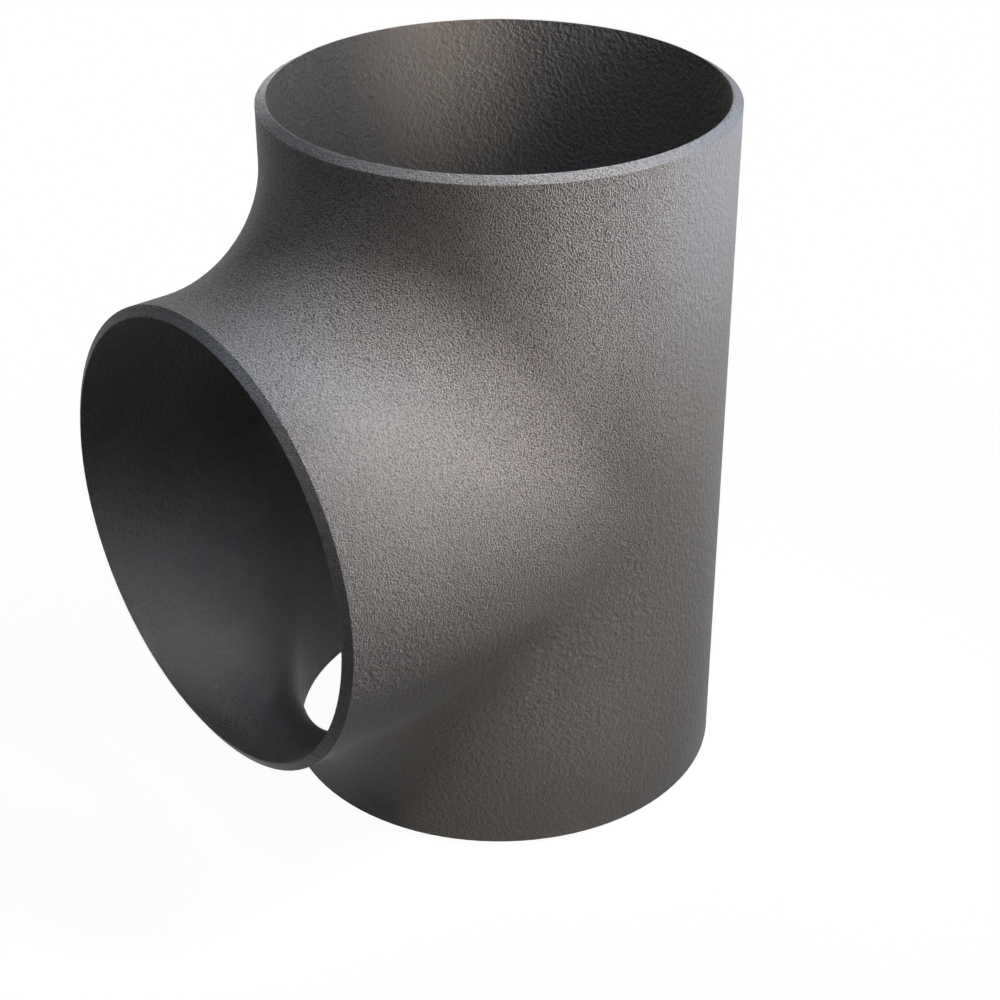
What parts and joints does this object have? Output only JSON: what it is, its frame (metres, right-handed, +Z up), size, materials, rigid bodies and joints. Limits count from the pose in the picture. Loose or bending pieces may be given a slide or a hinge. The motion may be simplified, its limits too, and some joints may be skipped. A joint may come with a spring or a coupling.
{
  "type": "butt weld tee",
  "caption": "Equal steel pipe tee: a straight run and a side branch of one diameter, joined by a rounded crotch, with a weld bevel round each open end.",
  "frame": {"origin": "centre of the lower run end, on the run's axis, in the plane that the tee stands on", "axes": "+Z up along the run's axis, -Y out of the branch, +X to the side"},
  "size_m": [0.3556, 0.4568, 0.558],
  "materials": {
    "coated_steel": "dark brown-grey protective coat, satin, with a fine pebbled grain from the forged surface"
  },
  "bodies": {
    "root": {"tee_body": "coated_steel"}
  },
  "joints": []
}
